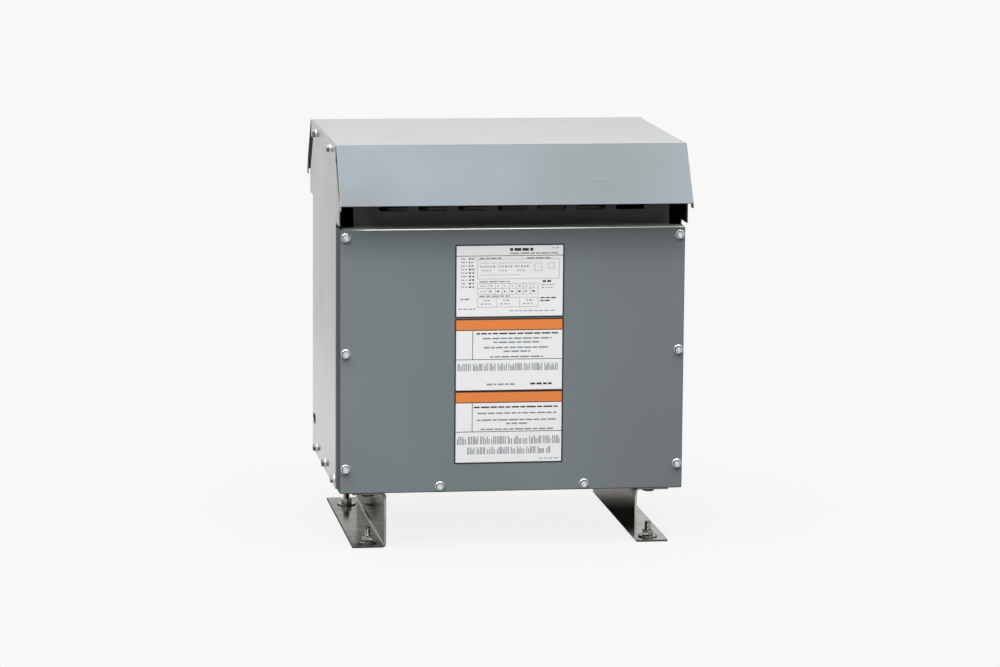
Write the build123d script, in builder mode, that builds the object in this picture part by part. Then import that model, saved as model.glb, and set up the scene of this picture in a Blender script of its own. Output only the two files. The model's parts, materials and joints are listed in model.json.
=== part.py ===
from build123d import *
import os

# Ventilated dry-type three-phase transformer: a core with three coils on isolation pads, in a
# folded sheet-steel enclosure with a drip hood, standing on two channel feet.
# Millimetres, +Z up, the front faces -Y, origin on the floor under the middle of the hood.

# Sheet stock and fits
sheet = 1.5
sheet_bend = 1.5
base_gauge = 2.0
foot_gauge = 3.0
foot_bend = 3.0
clamp_gauge = 4.0
clamp_bend = 4.0
slip = 0.3

# Enclosure, across
cover_width = 489.0
cover_inside_panel = 0.5
return_width = 22.0
strip_inset = 20.5

# Enclosure, front to back, measured from the middle of the hood
front_face = -203.0
rear_face = 172.0
cover_flange_depth = 34.0
strip_setback = 19.0
joggle_run = 4.0
skirt_overhang = 38.0
skirt_run = 58.0
skirt_tab_depth = 13.0
ear_behind_skirt = 33.0
ear_root_behind_roof_edge = 20.0

# Enclosure, heights: the feet, the cover on them, and the hood over the cover's ledge
foot_height = 79.0
cover_height = 376.0
roof_above_ledge = 115.0
skirt_above_ledge = 36.0
ear_above_ledge = 4.0
ear_corner_below_skirt = 2.0
ear_top_below_roof = 24.0
strip_below_roof = 8.0

# Enclosure, smaller folds and clearances
cover_lift = 0.5
base_flange_height = 25.0
strip_lip = 13.0
hood_flange_drop = 24.0
hood_flange_setback = 9.0
skirt_tab_rise = 15.0
skirt_tab_drop = 7.0

# Vent slots of the front and rear
vent_length = 41.0
vent_height = 12.0
vent_corner = 4.0
vent_pitch = 56.0
vent_row_pitch = 22.0
vent_margin = 20.0
vent_start = 21.5

# Air openings of the base: under the coils, the wiring space and the rear air space
air_opening_length = 240.0
air_opening_depth = 56.0
air_opening_corner = 6.0
outer_opening_depth = 44.0
front_opening_inset = 85.0
rear_opening_inset = 62.0

# Cable entry of the left side
entry_length = 36.0
entry_height = 15.5
entry_from_rear = 30.0
entry_rise = 48.0

# Washer-head screws of the enclosure
screw_size = 6.3
screw_length = 12.0
screw_washer = 13.0
screw_washer_height = 1.3
screw_hex = 9.5
screw_head_height = 4.2
screw_fit = 0.2
cover_screw_inset = 8.0
cover_screw_rows = 3
cover_screw_from_bottom = 35.0
cover_screw_from_top = 13.0
cover_bottom_screw_spread = 103.0
cover_bottom_screw_level = 9.0
hood_screw_spread = 103.0
hood_screw_drop = 13.0
side_screw_from_front = 63.0
side_screw_from_rear = 62.0
side_screw_level = 10.0

# Feet and their hardware
foot_length = 358.0
foot_flange = 48.0
foot_behind_cover_edge = 18.5
foot_behind_front_face = 6.0
foot_bolt_from_front = 27.0
foot_bolt_from_rear = 53.0
foot_bolt_from_edge = 24.0
stud_size = 9.5
stud_head = 14.0
stud_head_height = 1.5
stud_end = 12.0
stud_fit = 0.2
washer_size = 28.0
washer_gauge = 2.0
nut_across = 15.0
nut_height = 8.0
bolt_head_height = 6.4
bolt_end = 3.0

# Core
core_from_middle = 12.0
leg_width = 55.0
leg_pitch = 132.0
core_stack = 75.0
yoke_height = 55.0
window_height = 250.0
pad_height = 12.0
pad_width = 40.0

# Coils, from the leg outwards
former_fit = 0.5
former_wall = 2.0
winding_fit = 0.2
low_winding_wall = 10.0
duct_width = 6.0
high_winding_wall = 12.0
former_corner = 1.5
low_winding_corner = 12.0
high_winding_corner = 18.0
coil_block_height = 10.0
coil_block_width = 44.0
coil_block_depth = 28.0
stick_width = 6.0
stick_pitch = 16.0

# Core clamps and bolts
clamp_flange = 38.0
clamp_overhang = 20.5
clamp_bolt_size = 10.0
clamp_bolt_from_core = 8.5
clamp_bolt_across = 17.0
core_bolt_from_foot = 28.0

# Terminals
board_gauge = 6.0
board_end_inset = 5.0
board_margin = 2.0
terminal_size = 8.0
terminal_across = 13.0
terminal_nut_height = 6.5
terminal_behind = 12.0
terminal_ahead = 14.0
strap_gauge = 2.0
strap_width = 14.0
strap_reach = 40.0
low_strap_offset = 31.0
short_jumper_rise = 141.0
long_jumper_rise = 111.0
jumper_inset = 24.0
jumper_lift = 6.0

# Ground parts
lug_length = 30.0
lug_width = 16.0
lug_height = 14.0
lug_bore = 9.0
lug_from_middle = 120.0
lug_from_front = 35.0
ground_strap_width = 15.0
ground_strap_gauge = 1.5
ground_strap_from_pad = 15.0

# Worked out from the values above
ledge_height = foot_height + cover_height
overall_height = ledge_height + roof_above_ledge
skirt_bottom = ledge_height + skirt_above_ledge
ear_bottom = ledge_height + ear_above_ledge
ear_corner = skirt_bottom - ear_corner_below_skirt
ear_top = overall_height - ear_top_below_roof
strip_top = overall_height - strip_below_roof
skirt_reach = skirt_overhang - front_face
roof_half_depth = skirt_reach - skirt_run
ear_reach = skirt_reach - ear_behind_skirt
ear_root = roof_half_depth - ear_root_behind_roof_edge
cover_half = cover_width / 2
strip_width = cover_width - 2 * strip_inset
panel_half = cover_half + cover_inside_panel + sheet
joggle_half = cover_half - sheet - slip
hood_half = panel_half + slip + sheet
front_seat = front_face + sheet
rear_seat = rear_face - sheet
joggle_start = front_face + cover_flange_depth + sheet + sheet_bend
return_top = ledge_height - sheet - sheet_bend
cover_bottom = foot_height + cover_lift
strip_face = front_face + strip_setback
panel_top = overall_height - sheet - sheet_bend
base_top = foot_height + base_gauge
vent_columns = int((strip_width - 2 * vent_margin) // vent_pitch)
vent_rows = int((strip_top - ledge_height - vent_start) // vent_row_pitch)
vent_level = ledge_height + vent_start + vent_height / 2 + vent_row_pitch * (vent_rows - 1) / 2
screw_hole = (screw_size + screw_fit) / 2
cover_screw_pitch = (cover_height - cover_screw_from_bottom - cover_screw_from_top) / (cover_screw_rows - 1)
cover_screw_levels = [cover_screw_from_bottom + row * cover_screw_pitch for row in range(cover_screw_rows)]
side_screw_ends = (front_face + side_screw_from_front, rear_face - side_screw_from_rear)
side_screw_spots = (side_screw_ends[0], sum(side_screw_ends) / 2, side_screw_ends[1])
foot_outer_half = cover_half - foot_behind_cover_edge
foot_front = front_face + foot_behind_front_face
foot_rear = foot_front + foot_length
foot_bolt_x = foot_outer_half - foot_bolt_from_edge
foot_bolt_y = (foot_front + foot_bolt_from_front, foot_rear - foot_bolt_from_rear)
foot_bolt_spots = [(side * foot_bolt_x, y) for side in (-1, 1) for y in foot_bolt_y]
stud_hole = (stud_size + stud_fit) / 2
core_front = core_from_middle - core_stack / 2
core_rear = core_from_middle + core_stack / 2
clamp_bottom = base_top + pad_height
core_bottom = clamp_bottom + clamp_gauge
window_bottom = core_bottom + yoke_height
window_top = window_bottom + window_height
core_top = window_top + yoke_height
clamp_height = yoke_height + clamp_gauge
core_half = leg_pitch + leg_width / 2
core_bolt_spread = foot_outer_half - foot_flange - core_bolt_from_foot
clamp_length = 2 * max(core_half + clamp_overhang, core_bolt_spread + pad_width / 2)
board_length = clamp_length - 2 * board_end_inset
board_screw_spread = leg_pitch / 2
leg_spots = (-leg_pitch, 0.0, leg_pitch)
winding_bottom = window_bottom + coil_block_height
winding_length = window_height - 2 * coil_block_height
coil_half_depth = (
    core_stack / 2 + former_fit + former_wall + 2 * winding_fit
    + low_winding_wall + duct_width + high_winding_wall
)
coil_front = core_from_middle - coil_half_depth
clamp_tip = core_front - clamp_flange
board_face = clamp_tip - board_gauge
clamp_bolt_x = core_half + clamp_bolt_from_core
core_bolt_from_core = core_stack / 2 + clamp_gauge + (clamp_flange - clamp_gauge) / 2
core_bolt_spots = [
    (x, core_from_middle + y)
    for x in (-core_bolt_spread, core_bolt_spread)
    for y in (-core_bolt_from_core, core_bolt_from_core)
]
terminal_hole = terminal_size / 2 + screw_fit / 2

front_plane = Plane.XZ.offset(-front_face)
rear_plane = Plane(origin=(0, rear_face, 0), x_dir=(-1, 0, 0), z_dir=(0, 1, 0))
strip_plane = Plane.XZ.offset(-strip_face)

os.makedirs("parts", exist_ok=True)


def fold(plane, points, thickness, inside_bend):
    """The section of a folded sheet, drawn along the middle of its thickness."""
    with BuildSketch(plane) as section:
        with BuildLine():
            FilletPolyline(*points, radius=inside_bend + thickness / 2)
        trace(line_width=thickness)
    return section.sketch


def side_plane(side, x):
    """A vertical plane at x that looks out of the given side, with its local X towards the rear."""
    if side > 0:
        return Plane.YZ.offset(x)
    return Plane(origin=(-x, 0, 0), x_dir=(0, -1, 0), z_dir=(-1, 0, 0))


def round_holes(plane, spots, radius, depth):
    """Cuts round holes into the part under way, from the plane and against its normal."""
    with BuildSketch(plane) as circles:
        with Locations(*spots):
            Circle(radius)
    extrude(circles.sketch, amount=-depth, mode=Mode.SUBTRACT)


def vents(plane):
    """Cuts the field of rounded air slots into the sheet whose outer face is the plane."""
    with BuildSketch(plane) as field:
        with Locations((0, vent_level)):
            with GridLocations(vent_pitch, vent_row_pitch, vent_columns, vent_rows):
                RectangleRounded(vent_length, vent_height, vent_corner)
    extrude(field.sketch, amount=-sheet, mode=Mode.SUBTRACT)


def write(piece, name):
    """Labels a finished piece and writes its file."""
    piece.part.label = name
    export_step(piece.part, f"parts/{name}.step")


# Feet: outward-opening channels, with clinch studs below and bolt holes above

def foot(side):
    """One channel foot; side is -1 on the left and 1 on the right."""
    tip = side * foot_outer_half
    web = side * (foot_outer_half - foot_flange + foot_gauge / 2)
    low = foot_gauge / 2
    high = foot_height - foot_gauge / 2
    spots = [(side * foot_bolt_x, y) for y in foot_bolt_y]
    with BuildPart() as channel:
        points = [(tip, low), (web, low), (web, high), (tip, high)]
        extrude(fold(Plane.XZ.offset(-foot_rear), points, foot_gauge, foot_bend), amount=foot_length)
        round_holes(Plane.XY.offset(foot_height), spots, stud_hole, foot_height)
        round_holes(Plane.XY.offset(stud_head_height), spots, stud_head / 2, stud_head_height)
    return channel


for side, name in ((-1, "left_foot"), (1, "right_foot")):
    write(foot(side), name)

with BuildPart() as foot_studs:
    with BuildSketch():
        with Locations(*foot_bolt_spots):
            Circle(stud_head / 2)
    extrude(amount=stud_head_height)
    with BuildSketch():
        with Locations(*foot_bolt_spots):
            Circle(stud_size / 2)
    extrude(amount=foot_gauge + washer_gauge + nut_height + stud_end)
write(foot_studs, "foot_studs")


def washers(level):
    """Flat washers on the foot bolts, seated at a level."""
    with BuildPart() as rings:
        with BuildSketch(Plane.XY.offset(level)):
            with Locations(*foot_bolt_spots):
                Circle(washer_size / 2)
                Circle(stud_hole, mode=Mode.SUBTRACT)
        extrude(amount=washer_gauge)
    return rings


def nuts(plane, spots, across, height, bore):
    """Hex nuts seated on the plane."""
    with BuildPart() as hexes:
        with BuildSketch(plane):
            with Locations(*spots):
                RegularPolygon(across / 2, 6, major_radius=False)
                Circle(bore / 2, mode=Mode.SUBTRACT)
        extrude(amount=height)
    return hexes


def bolts(plane, spots, across, head_height, size, grip):
    """Hex bolts whose heads stand on the plane and whose shanks run back through it."""
    with BuildPart() as row:
        with BuildSketch(plane):
            with Locations(*spots):
                RegularPolygon(across / 2, 6, major_radius=False)
        extrude(amount=head_height)
        with BuildSketch(plane):
            with Locations(*spots):
                Circle(size / 2)
        extrude(amount=-grip)
    return row


write(washers(foot_gauge), "foot_washers")
foot_nut_seat = Plane.XY.offset(foot_gauge + washer_gauge)
write(nuts(foot_nut_seat, foot_bolt_spots, nut_across, nut_height, 2 * stud_hole), "foot_nuts")

under_foot_flange = Plane(
    origin=(0, 0, foot_height - foot_gauge), x_dir=(-1, 0, 0), z_dir=(0, 0, -1)
)
mirrored_spots = [(-x, y) for x, y in foot_bolt_spots]
base_bolt_grip = foot_gauge + base_gauge + nut_height + bolt_end
write(
    bolts(under_foot_flange, mirrored_spots, nut_across, bolt_head_height, stud_size, base_bolt_grip),
    "base_bolts",
)
base_nut_seat = Plane.XY.offset(base_top)
write(nuts(base_nut_seat, foot_bolt_spots, nut_across, nut_height, 2 * stud_hole), "base_nuts")

# Base pan: a floor with four upturned flanges, notched where the side panels' returns stand

with BuildPart() as base_pan:
    front_corner_x = joggle_half - return_width - slip
    front_zone_x = joggle_half - sheet - slip
    rear_zone_x = panel_half - sheet - slip
    rear_corner_x = panel_half - return_width - slip
    rear_notch_y = rear_seat - sheet - slip
    floor_inset = sheet_bend + base_gauge
    side_flange_front = joggle_start + joggle_run + sheet_bend
    side_flange_rear = rear_seat - sheet - sheet_bend
    right_edge = [
        (front_corner_x, front_seat + floor_inset),
        (front_zone_x, front_seat + floor_inset),
        (front_zone_x, side_flange_front),
        (rear_zone_x - floor_inset, side_flange_front),
        (rear_zone_x - floor_inset, rear_notch_y),
        (rear_corner_x, rear_notch_y),
        (rear_corner_x, rear_seat - floor_inset),
    ]
    left_edge = [(-x, y) for x, y in reversed(right_edge)]
    with BuildSketch(Plane.XY.offset(foot_height)):
        with BuildLine():
            Polyline(*right_edge, *left_edge, close=True)
        make_face()
        with Locations((0, core_from_middle)):
            RectangleRounded(air_opening_length, air_opening_depth, air_opening_corner, mode=Mode.SUBTRACT)
        with Locations((0, front_face + front_opening_inset), (0, rear_face - rear_opening_inset)):
            RectangleRounded(air_opening_length, outer_opening_depth, air_opening_corner,
                             mode=Mode.SUBTRACT)
    extrude(amount=base_gauge)
    low = foot_height + base_gauge / 2
    flange_tip = foot_height + base_flange_height
    for edge, corner_x, sign in ((front_seat, front_corner_x, 1), (rear_seat, rear_corner_x, -1)):
        middle = edge + sign * base_gauge / 2
        points = [(edge + sign * 2 * floor_inset, low), (middle, low), (middle, flange_tip)]
        section = fold(Plane.YZ.offset(-corner_x), points, base_gauge, sheet_bend)
        extrude(section, amount=2 * corner_x)
    for side in (-1, 1):
        middle = side * (rear_zone_x - base_gauge / 2)
        points = [(side * (rear_zone_x - 2 * floor_inset), low), (middle, low), (middle, flange_tip)]
        section = fold(Plane.XZ.offset(-side_flange_rear), points, base_gauge, sheet_bend)
        extrude(section, amount=side_flange_rear - side_flange_front)
    round_holes(Plane.XY.offset(base_top), foot_bolt_spots, stud_hole, base_gauge)
    round_holes(Plane.XY.offset(base_top), core_bolt_spots, clamp_bolt_size / 2 + screw_fit, base_gauge)
    bottom_spots = [(x, foot_height + cover_bottom_screw_level) for x in
                    (-cover_bottom_screw_spread, cover_bottom_screw_spread)]
    round_holes(front_plane, bottom_spots, screw_hole, sheet + base_gauge)
    round_holes(rear_plane, bottom_spots, screw_hole, sheet + base_gauge)
    side_spots = [(y, foot_height + side_screw_level) for y in side_screw_spots]
    round_holes(side_plane(1, panel_half), side_spots, screw_hole, 2 * sheet + base_gauge)
    left_spots = [(-y, z) for y, z in side_spots]
    round_holes(side_plane(-1, panel_half), left_spots, screw_hole, 2 * sheet + base_gauge)
write(base_pan, "base_pan")

# Side panels: a web with a joggled front flange, two returns, and ears under the hood

cover_screw_x = cover_half - cover_screw_inset
edge_screws = [
    (side * cover_screw_x, cover_bottom + level) for side in (-1, 1) for level in cover_screw_levels
]
hood_screw_level = overall_height - hood_screw_drop


def side_panel(side):
    """One side of the enclosure; side is -1 on the left and 1 on the right."""
    web = side * (panel_half - sheet / 2)
    joggled = side * (joggle_half - sheet / 2)
    plan = [
        (side * (panel_half - return_width), rear_seat - sheet / 2),
        (web, rear_seat - sheet / 2),
        (web, joggle_start + joggle_run),
        (joggled, joggle_start),
        (joggled, front_seat + sheet / 2),
        (side * (joggle_half - return_width), front_seat + sheet / 2),
    ]
    outline = [
        (joggle_start + joggle_run, return_top),
        (joggle_start + joggle_run, ear_bottom),
        (-ear_reach, ear_bottom),
        (-ear_reach, ear_corner),
        (-ear_root, ear_top),
        (-ear_root, panel_top),
        (ear_root, panel_top),
        (ear_root, ear_top),
        (ear_reach, ear_corner),
        (ear_reach, ear_bottom),
        (rear_seat - sheet, ear_bottom),
        (rear_seat - sheet, return_top),
    ]
    face = side_plane(side, panel_half)
    with BuildPart() as panel:
        section = fold(Plane.XY.offset(foot_height), plan, sheet, sheet_bend)
        extrude(section, amount=return_top - foot_height)
        with BuildSketch(face):
            with BuildLine():
                Polyline(*[(side * y, z) for y, z in outline], close=True)
            make_face()
        extrude(amount=-sheet)
        hood_spots = [(y, hood_screw_level) for y in (-hood_screw_spread, hood_screw_spread)]
        bottom_spots = [(side * y, foot_height + side_screw_level) for y in side_screw_spots]
        round_holes(face, hood_spots + bottom_spots, screw_hole, sheet)
        own_screws = [(x, z) for x, z in edge_screws if x * side > 0]
        round_holes(front_plane, own_screws, screw_hole, 2 * sheet)
        round_holes(rear_plane, [(-x, z) for x, z in own_screws], screw_hole, 2 * sheet)
        if side < 0:
            with BuildSketch(face):
                with Locations((side * (rear_face - entry_from_rear), foot_height + entry_rise)):
                    SlotOverall(entry_length, entry_height)
            extrude(amount=-sheet, mode=Mode.SUBTRACT)
    return panel


for side, name in ((-1, "left_side_panel"), (1, "right_side_panel")):
    write(side_panel(side), name)

# Front cover: a pan with deep side flanges, a ledge, and a set-back strip with the vents

bottom_screws = [
    (side * cover_bottom_screw_spread, foot_height + cover_bottom_screw_level) for side in (-1, 1)
]
bend_out = sheet + sheet_bend

with BuildPart() as front_cover:
    face_middle = front_face + sheet / 2
    strip_middle = strip_face + sheet / 2
    ledge_middle = ledge_height - sheet / 2
    flange_middle = cover_half - sheet / 2
    pan = [
        (-flange_middle, front_face + cover_flange_depth),
        (-flange_middle, face_middle),
        (flange_middle, face_middle),
        (flange_middle, front_face + cover_flange_depth),
    ]
    pan_section = fold(Plane.XY.offset(cover_bottom), pan, sheet, sheet_bend)
    extrude(pan_section, amount=return_top - cover_bottom)
    brow = [(face_middle, cover_bottom), (face_middle, ledge_middle), (strip_face - bend_out, ledge_middle)]
    brow_section = fold(Plane.YZ.offset(bend_out - cover_half), brow, sheet, sheet_bend)
    extrude(brow_section, amount=cover_width - 2 * bend_out)
    strip = [
        (strip_face - 2 * bend_out, ledge_middle),
        (strip_middle, ledge_middle),
        (strip_middle, strip_top),
        (strip_middle + strip_lip, strip_top),
    ]
    extrude(fold(Plane.YZ.offset(-strip_width / 2), strip, sheet, sheet_bend), amount=strip_width)
    vents(strip_plane)
    round_holes(front_plane, edge_screws + bottom_screws, screw_hole, sheet)
write(front_cover, "front_cover")

# Rear panel: a flat sheet with a lip under the roof and the same field of vents

with BuildPart() as rear_panel:
    rear_middle = rear_face - sheet / 2
    profile = [
        (rear_middle, cover_bottom),
        (rear_middle, strip_top),
        (rear_middle - strip_lip, strip_top),
    ]
    extrude(fold(Plane.YZ.offset(-cover_half), profile, sheet, sheet_bend), amount=cover_width)
    vents(rear_plane)
    round_holes(rear_plane, edge_screws + bottom_screws, screw_hole, sheet)
write(rear_panel, "rear_panel")

# Hood: a roof that folds into two sloping skirts, with a screwed flange down each side

with BuildPart() as hood:
    with BuildSketch(Plane.YZ.offset(-hood_half)):
        with BuildLine():
            outside = FilletPolyline(
                (-skirt_reach, skirt_bottom),
                (-roof_half_depth, overall_height),
                (roof_half_depth, overall_height),
                (skirt_reach, skirt_bottom),
                radius=bend_out,
            )
            offset(outside, amount=sheet, side=Side.RIGHT, kind=Kind.ARC)
        make_face()
    extrude(amount=2 * hood_half)
    flange_half = roof_half_depth - hood_flange_setback
    with BuildSketch(Plane.XY.offset(overall_height)):
        for side in (-1, 1):
            with Locations((side * hood_half, 0)):
                Rectangle(2 * bend_out, 2 * flange_half)
    extrude(amount=-bend_out, mode=Mode.SUBTRACT)
    flange_middle = hood_half - sheet / 2
    roof_middle = overall_height - sheet / 2
    flange_tip = overall_height - hood_flange_drop
    bridge = [
        (-flange_middle, flange_tip),
        (-flange_middle, roof_middle),
        (flange_middle, roof_middle),
        (flange_middle, flange_tip),
    ]
    bridge_section = fold(Plane.XZ.offset(-flange_half), bridge, sheet, sheet_bend)
    extrude(bridge_section, amount=2 * flange_half)
    for side in (-1, 1):
        with BuildSketch(side_plane(side, hood_half)):
            for end in (-1, 1):
                with BuildLine():
                    Polyline(
                        (end * skirt_reach, skirt_bottom),
                        (end * skirt_reach, skirt_bottom - skirt_tab_drop),
                        (end * (skirt_reach - skirt_tab_depth), skirt_bottom - skirt_tab_drop),
                        (end * (skirt_reach - skirt_tab_depth), skirt_bottom + skirt_tab_rise),
                        close=True,
                    )
                make_face()
        extrude(amount=-sheet)
        hood_spots = [(y, hood_screw_level) for y in (-hood_screw_spread, hood_screw_spread)]
        round_holes(side_plane(side, hood_half), hood_spots, screw_hole, sheet)
write(hood, "hood")

# Enclosure screws


def washer_head_screws(plane, spots):
    """Hex washer-head screws seated on the plane."""
    with BuildPart() as screws:
        with BuildSketch(plane):
            with Locations(*spots):
                Circle(screw_washer / 2)
        extrude(amount=screw_washer_height)
        with BuildSketch(plane.offset(screw_washer_height)):
            with Locations(*spots):
                RegularPolygon(screw_hex / 2, 6, major_radius=False)
        extrude(amount=screw_head_height)
        with BuildSketch(plane):
            with Locations(*spots):
                Circle(screw_size / 2)
        extrude(amount=-screw_length)
    return screws


write(washer_head_screws(front_plane, edge_screws + bottom_screws), "front_cover_screws")
write(washer_head_screws(rear_plane, edge_screws + bottom_screws), "rear_panel_screws")
for side, name in ((-1, "left_side_screws"), (1, "right_side_screws")):
    spots = [(side * y, foot_height + side_screw_level) for y in side_screw_spots]
    write(washer_head_screws(side_plane(side, panel_half), spots), name)
for side, name in ((-1, "left_hood_screws"), (1, "right_hood_screws")):
    spots = [(y, hood_screw_level) for y in (-hood_screw_spread, hood_screw_spread)]
    write(washer_head_screws(side_plane(side, hood_half), spots), name)

# Core: three legs on the lower yoke, closed by the upper yoke

core_plane = Plane.XZ.offset(-core_rear)

with BuildPart() as core:
    with BuildSketch(core_plane):
        with Locations((0, core_bottom + yoke_height / 2)):
            Rectangle(2 * core_half, yoke_height)
        with Locations(*[(x, window_bottom + window_height / 2) for x in leg_spots]):
            Rectangle(leg_width, window_height)
    extrude(amount=core_stack)
write(core, "core_legs_and_lower_yoke")

with BuildPart() as upper_yoke:
    with BuildSketch(core_plane):
        with Locations((0, window_top + yoke_height / 2)):
            Rectangle(2 * core_half, yoke_height)
    extrude(amount=core_stack)
write(upper_yoke, "upper_yoke")

# Coils: on each leg a former, the low winding, an air duct held open by sticks, the high winding


def sleeve(x, bottom, length, gap, wall, corner):
    """A rounded rectangular tube round the leg at x, its inside the given gap off the leg."""
    inner_x = leg_width + 2 * gap
    inner_y = core_stack + 2 * gap
    with BuildPart() as tube:
        with BuildSketch(Plane.XY.offset(bottom)):
            with Locations((x, core_from_middle)):
                RectangleRounded(inner_x + 2 * wall, inner_y + 2 * wall, corner)
        extrude(amount=length)
        with BuildSketch(Plane.XY.offset(bottom)):
            with Locations((x, core_from_middle)):
                RectangleRounded(inner_x, inner_y, max(corner - wall, former_corner))
        extrude(amount=length, mode=Mode.SUBTRACT)
    return tube


low_gap = former_fit + former_wall + winding_fit
duct_gap = low_gap + low_winding_wall
high_gap = duct_gap + duct_width + winding_fit


def duct_sticks(x):
    """Upright sticks that hold the air duct open on the four sides of a coil."""
    depth = duct_width
    row_x = leg_width / 2 + duct_gap + duct_width / 2 + winding_fit / 2
    row_y = core_stack / 2 + duct_gap + duct_width / 2 + winding_fit / 2
    with BuildPart() as sticks:
        with BuildSketch(Plane.XY.offset(winding_bottom)):
            with Locations((x, core_from_middle)):
                with GridLocations(stick_pitch, 2 * row_y, 4, 2):
                    Rectangle(stick_width, depth)
                with GridLocations(2 * row_x, 2 * stick_pitch, 2, 2):
                    Rectangle(depth, stick_width)
        extrude(amount=winding_length)
    return sticks


for x, phase in zip(leg_spots, ("a", "b", "c")):
    former = sleeve(x, window_bottom + slip, window_height - 2 * slip, former_fit, former_wall,
                    former_corner + former_wall)
    write(former, f"coil_former_{phase}")
    low_winding = sleeve(x, winding_bottom, winding_length, low_gap, low_winding_wall,
                         low_winding_corner)
    write(low_winding, f"low_winding_{phase}")
    write(duct_sticks(x), f"duct_sticks_{phase}")
    high_winding = sleeve(x, winding_bottom, winding_length, high_gap, high_winding_wall,
                          high_winding_corner)
    write(high_winding, f"high_winding_{phase}")

# Core clamps: channels that press both yokes from the front and the rear, and seat the coils

clamp_bolt_levels = (core_bottom + yoke_height / 2, window_top + yoke_height / 2)
clamp_bolt_spots = [(side * clamp_bolt_x, z) for side in (-1, 1) for z in clamp_bolt_levels]
board_screw_spots = [(side * board_screw_spread, z) for side in (-1, 1) for z in clamp_bolt_levels]


def clamp(bottom, end, bolted_down):
    """One clamp channel; end is -1 in front of the core and 1 behind it."""
    yoke_face = core_from_middle + end * core_stack / 2
    web = yoke_face + end * clamp_gauge / 2
    tip = yoke_face + end * clamp_flange
    low = bottom + clamp_gauge / 2
    high = bottom + clamp_height - clamp_gauge / 2
    with BuildPart() as channel:
        points = [(tip, low), (web, low), (web, high), (tip, high)]
        section = fold(Plane.YZ.offset(-clamp_length / 2), points, clamp_gauge, clamp_bend)
        extrude(section, amount=clamp_length)
        with BuildSketch(Plane.XZ.offset(-core_from_middle)):
            with Locations(*clamp_bolt_spots):
                Circle(clamp_bolt_size / 2 + screw_fit)
            if end < 0:
                with Locations(*board_screw_spots):
                    Circle(screw_hole)
        extrude(amount=core_stack, both=True, mode=Mode.SUBTRACT)
        if bolted_down:
            foot_spots = [(x, y) for x, y in core_bolt_spots if (y - core_from_middle) * end > 0]
            round_holes(Plane.XY.offset(bottom + clamp_gauge), foot_spots,
                        clamp_bolt_size / 2 + screw_fit, clamp_gauge)
    return channel


upper_clamp_bottom = core_top - yoke_height
write(clamp(clamp_bottom, -1, True), "lower_front_clamp")
write(clamp(clamp_bottom, 1, True), "lower_rear_clamp")
write(clamp(upper_clamp_bottom, -1, False), "upper_front_clamp")
write(clamp(upper_clamp_bottom, 1, False), "upper_rear_clamp")

clamp_face = Plane.XZ.offset(clamp_gauge - core_front)
clamp_back = Plane(origin=(0, core_rear + clamp_gauge, 0), x_dir=(-1, 0, 0), z_dir=(0, 1, 0))
clamp_bolt_grip = core_stack + 2 * clamp_gauge + nut_height + bolt_end
write(
    bolts(clamp_face, clamp_bolt_spots, clamp_bolt_across, bolt_head_height, clamp_bolt_size,
          clamp_bolt_grip),
    "clamp_bolts",
)
write(nuts(clamp_back, clamp_bolt_spots, clamp_bolt_across, nut_height, clamp_bolt_size + screw_fit),
      "clamp_nuts")

# Coil blocks between the clamps' flanges and the windings' ends


def coil_blocks(bottom):
    """Insulating blocks at one end of the three coils, in front of the core and behind it."""
    row = core_stack / 2 + former_fit + former_wall + slip + coil_block_depth / 2
    with BuildPart() as blocks:
        with BuildSketch(Plane.XY.offset(bottom)):
            with Locations((0, core_from_middle)):
                with GridLocations(leg_pitch, 2 * row, 3, 2):
                    Rectangle(coil_block_width, coil_block_depth)
        extrude(amount=coil_block_height)
    return blocks


write(coil_blocks(window_bottom), "lower_coil_blocks")
write(coil_blocks(window_top - coil_block_height), "upper_coil_blocks")

# Isolation pads under the lower clamps, and the bolts that hold the core down

with BuildPart() as isolation_pads:
    with BuildSketch(Plane.XY.offset(base_top)):
        with Locations(*core_bolt_spots):
            Rectangle(pad_width, clamp_flange - clamp_gauge)
            Circle(clamp_bolt_size / 2 + screw_fit, mode=Mode.SUBTRACT)
    extrude(amount=pad_height)
write(isolation_pads, "isolation_pads")

core_bolt_grip = clamp_gauge + pad_height + base_gauge + nut_height + bolt_end
write(
    bolts(Plane.XY.offset(core_bottom), core_bolt_spots, clamp_bolt_across, bolt_head_height,
          clamp_bolt_size, core_bolt_grip),
    "core_mount_bolts",
)
under_base = Plane(origin=(0, 0, foot_height), x_dir=(-1, 0, 0), z_dir=(0, 0, -1))
mirrored_core_spots = [(-x, y) for x, y in core_bolt_spots]
write(nuts(under_base, mirrored_core_spots, clamp_bolt_across, nut_height, clamp_bolt_size + screw_fit),
      "core_mount_nuts")

# Terminal boards on the front clamps, with their studs, nuts and straps

high_terminals = list(leg_spots)
low_terminals = [x + low_strap_offset for x in leg_spots]
low_level, high_level = clamp_bolt_levels
board_plane = Plane.XZ.offset(-board_face)
terminal_spots = [(x, high_level) for x in high_terminals] + [(x, low_level) for x in low_terminals]


def board(level):
    """An insulating board against the flange tips of a front clamp."""
    with BuildPart() as panel:
        with BuildSketch(board_plane):
            with Locations((0, level)):
                Rectangle(board_length, clamp_height - 2 * board_margin)
        extrude(amount=-board_gauge)
        round_holes(board_plane, terminal_spots, terminal_hole, board_gauge)
        round_holes(board_plane, board_screw_spots, screw_hole, board_gauge)
    return panel


write(board(high_level), "high_terminal_board")
write(board(low_level), "low_terminal_board")

board_screw_grip = board_gauge + clamp_flange
write(
    bolts(board_plane, board_screw_spots, screw_hex, screw_head_height, screw_size, board_screw_grip),
    "board_screws",
)

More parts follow.
